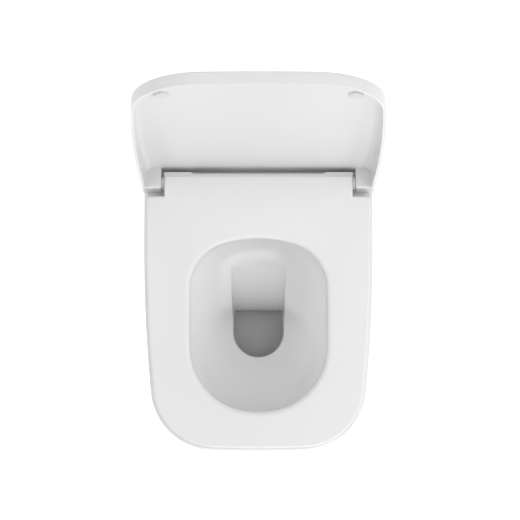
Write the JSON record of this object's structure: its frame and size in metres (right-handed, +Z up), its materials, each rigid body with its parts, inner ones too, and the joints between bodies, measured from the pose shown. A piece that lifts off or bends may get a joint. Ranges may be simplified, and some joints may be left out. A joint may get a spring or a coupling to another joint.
{
  "type": "wall hung toilet",
  "caption": "Wall hung toilet: a ceramic pan with bowl, trap and wall fixings, and a lift-off soft-close seat under a skirted lid that stands open.",
  "frame": {"origin": "on the wall face, midway between the wall bolts", "axes": "+Z up, +Y into the wall, +X to the right of someone who faces the wall"},
  "size_m": [0.36, 0.53, 0.7646],
  "materials": {
    "white_glaze": "glossy fired glaze",
    "seat_plastic": "polished thermoset",
    "soft_buffer": "soft matt",
    "damper_plastic": "fine matt",
    "bearing_plastic": "smooth satin",
    "hinge_plastic": "fine matt",
    "button_plastic": "smooth gloss",
    "steel": "turned",
    "brass": "turned",
    "black_rubber": "matt",
    "grey_rubber": "matt",
    "fixing_plastic": "natural nylon",
    "cap_plastic": "smooth gloss"
  },
  "bodies": {
    "pan": {"ceramic_pan": "white_glaze", "fixing_sleeves": "fixing_plastic", "fixing_washers": "fixing_plastic", "fixing_nuts": "steel", "fixing_caps": "cap_plastic", "hinge_pillar_left": "steel", "hinge_pillar_right": "steel", "pillar_seals": "grey_rubber", "expanding_bushes": "black_rubber", "clamp_nuts": "brass"},
    "hinge_units": {"hinge_post_left": "hinge_plastic", "hinge_post_right": "hinge_plastic", "seat_damper_shaft": "steel", "lid_damper_shaft": "steel"},
    "button_left": {"release_button_left": "button_plastic"},
    "button_right": {"release_button_right": "button_plastic"},
    "seat": {"seat_ring": "seat_plastic", "seat_buffers": "soft_buffer", "seat_damper_body": "damper_plastic", "seat_bearing_sleeve": "bearing_plastic"},
    "lid": {"lid_shell": "seat_plastic", "lid_buffers": "soft_buffer", "lid_damper_body": "damper_plastic", "lid_pivot_bush": "bearing_plastic", "lid_drive_insert": "bearing_plastic"}
  },
  "joints": [
    {"name": "lift_off", "type": "slide", "parent": "pan", "child": "hinge_units", "axis": [0, 0, 1], "range_m": [0, 0.045]},
    {"name": "seat_hinge", "type": "hinge", "parent": "hinge_units", "child": "seat", "pos_m": [0, -0.113, 0.103], "axis": [-1, 0, 0], "range_deg": [0, 97]},
    {"name": "lid_hinge", "type": "hinge", "parent": "hinge_units", "child": "lid", "pos_m": [0, -0.113, 0.103], "axis": [-1, 0, 0], "range_deg": [-101.2, 0]},
    {"name": "press_left", "type": "slide", "parent": "hinge_units", "child": "button_left", "axis": [0, 1, 0], "range_m": [0, 0.003], "stiffness_N_per_m": 400},
    {"name": "press_right", "type": "slide", "parent": "hinge_units", "child": "button_right", "axis": [0, 1, 0], "range_m": [0, 0.003], "stiffness_N_per_m": 400}
  ]
}
